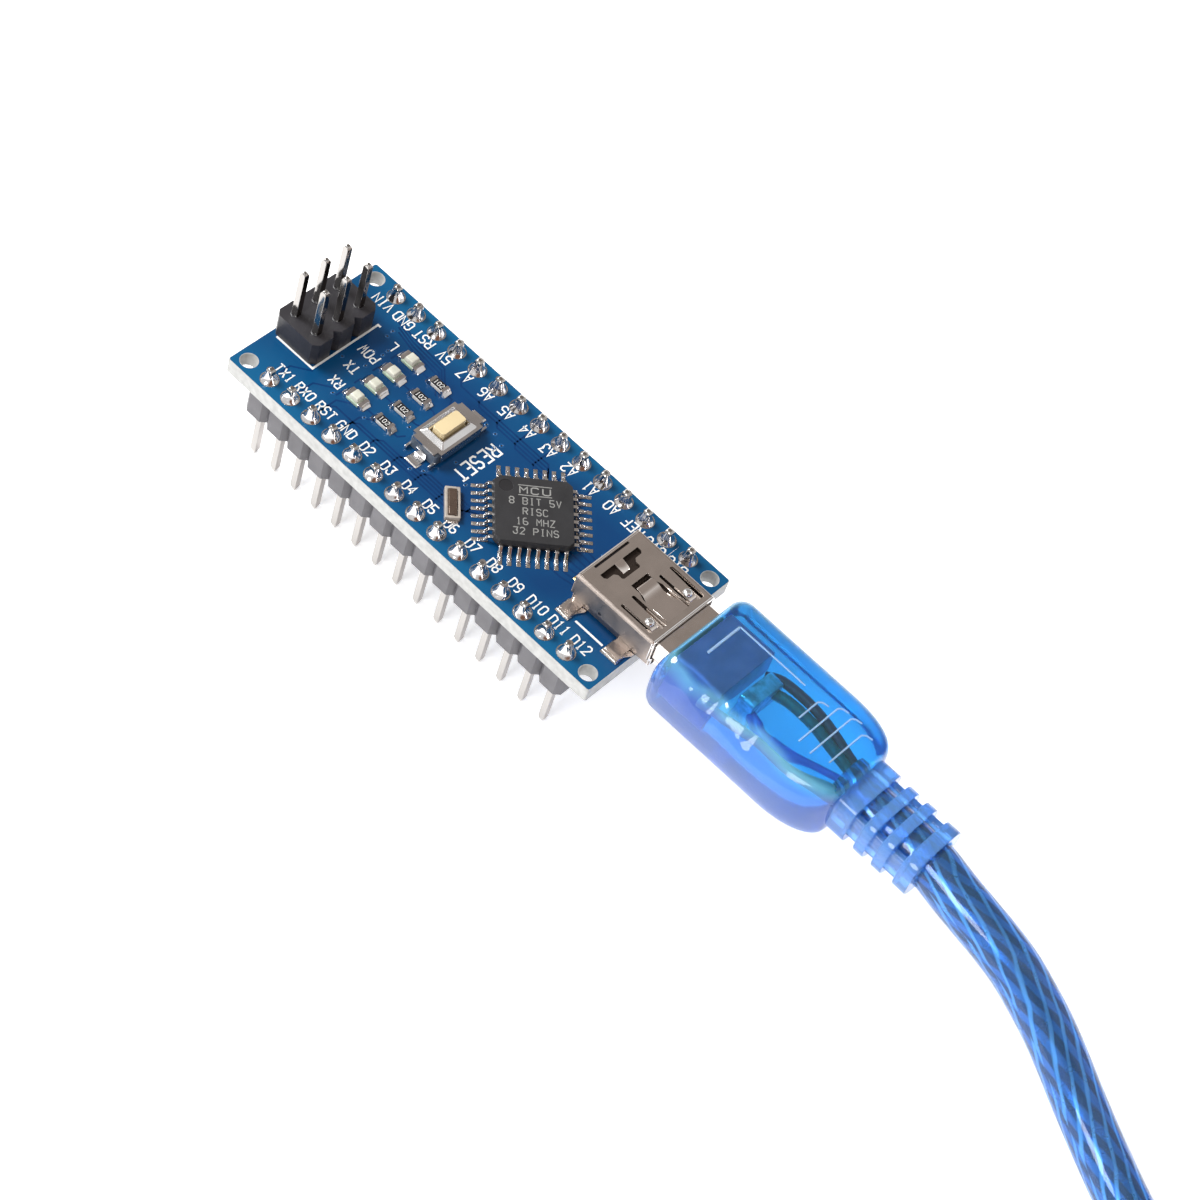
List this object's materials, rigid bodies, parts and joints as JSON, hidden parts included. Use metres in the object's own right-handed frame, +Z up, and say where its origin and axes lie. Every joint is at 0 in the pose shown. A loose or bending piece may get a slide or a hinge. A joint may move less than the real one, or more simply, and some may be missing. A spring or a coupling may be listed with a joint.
{
  "type": "microcontroller development board",
  "caption": "Small blue microcontroller board with two rows of header pins, a programming header, a reset button and a plugged-in translucent blue USB cable.",
  "frame": {"origin": "under the middle of the board with its USB socket, at the tips of the header pins", "axes": "+X out of the USB socket along the board, +Y to the back row of pins (the row that ends in D13 on the real board), +Z up through the component side"},
  "size_m": [0.1626, 0.0564, 0.0181],
  "materials": {
    "solder_mask": "deep blue glossy solder mask over glass-fibre board",
    "board_core": "cream glass-fibre board edge and hole wall",
    "silkscreen": "white printed ink",
    "trace": "copper track seen through the blue mask",
    "solder": "bright tin solder",
    "black_plastic": "black moulded plastic",
    "chip_plastic": "dark grey epoxy moulding",
    "pin_metal": "tin-plated brass pin",
    "gold_contact": "gold-plated contact",
    "socket_steel": "nickel-plated steel sheet, slightly brown",
    "switch_steel": "brushed steel sheet",
    "bright_metal": "bright nickel plate",
    "button_plastic": "cream-yellow plastic",
    "led_plastic": "pale greenish translucent epoxy",
    "ceramic": "pale ceramic",
    "lid_metal": "dark brown metal lid",
    "capacitor_ceramic": "tan ceramic",
    "tantalum_yellow": "orange-yellow moulding",
    "blue_mould": "translucent azure PVC",
    "blue_jacket": "translucent blue PVC over a silver braid",
    "braid": "tinned copper braid",
    "wire_red": "dark red wire insulation",
    "wire_green": "teal wire insulation",
    "tie_rubber": "black rubber tie",
    "white_plastic": "white plastic"
  },
  "bodies": {
    "board": {"circuit_board": "solder_mask", "header_front": "black_plastic", "header_back": "black_plastic", "icsp_base": "black_plastic", "icsp_pin_1": "pin_metal", "icsp_pin_2": "pin_metal", "icsp_pin_3": "pin_metal", "icsp_pin_4": "pin_metal", "icsp_pin_5": "pin_metal", "icsp_pin_6": "pin_metal", "microcontroller": "chip_plastic", "resonator_base": "ceramic", "resonator_lid": "lid_metal", "led_pin_13": "led_plastic", "resistor_pin_13": "chip_plastic", "led_power": "led_plastic", "resistor_power": "chip_plastic", "led_transmit": "led_plastic", "resistor_transmit": "chip_plastic", "led_receive": "led_plastic", "resistor_receive": "chip_plastic", "switch_base": "black_plastic", "switch_cover": "switch_steel", "snap_dome": "switch_steel", "switch_terminal_back": "switch_steel", "switch_terminal_front": "switch_steel", "usb_socket_shell": "socket_steel", "usb_socket_tongue": "black_plastic", "usb_socket_contact_1": "gold_contact", "usb_socket_contact_2": "gold_contact", "usb_socket_contact_3": "gold_contact", "usb_socket_contact_4": "gold_contact", "usb_socket_contact_5": "gold_contact", "usb_serial_chip": "chip_plastic", "usb_crystal": "bright_metal", "voltage_regulator": "chip_plastic", "power_diode": "chip_plastic", "usb_fuse": "black_plastic", "tantalum_capacitor_1": "tantalum_yellow", "tantalum_capacitor_2": "tantalum_yellow", "resistor_array_1": "chip_plastic", "resistor_array_2": "chip_plastic", "ceramic_capacitor_1": "capacitor_ceramic", "ceramic_capacitor_2": "capacitor_ceramic", "ceramic_capacitor_3": "capacitor_ceramic"},
    "reset_button": {"reset_button": "button_plastic"},
    "usb_cable": {"mini_plug_shell": "socket_steel", "mini_plug_insert": "black_plastic", "mini_plug_overmould": "blue_mould", "mini_plug_can": "bright_metal", "cord_lead": "blue_jacket", "cord_coil": "blue_jacket", "cord_upper_turn": "blue_jacket", "coil_tie": "tie_rubber", "usb_a_overmould": "blue_mould", "usb_a_shell": "bright_metal", "usb_a_tongue": "white_plastic"}
  },
  "joints": [
    {"name": "reset_press", "type": "slide", "parent": "board", "child": "reset_button", "axis": [0, 0, -1], "range_m": [0, 0.00025], "stiffness_N_per_m": 6400},
    {"name": "usb_cable_unplug", "type": "slide", "parent": "board", "child": "usb_cable", "axis": [1, 0, 0], "range_m": [0, 0.01]}
  ]
}
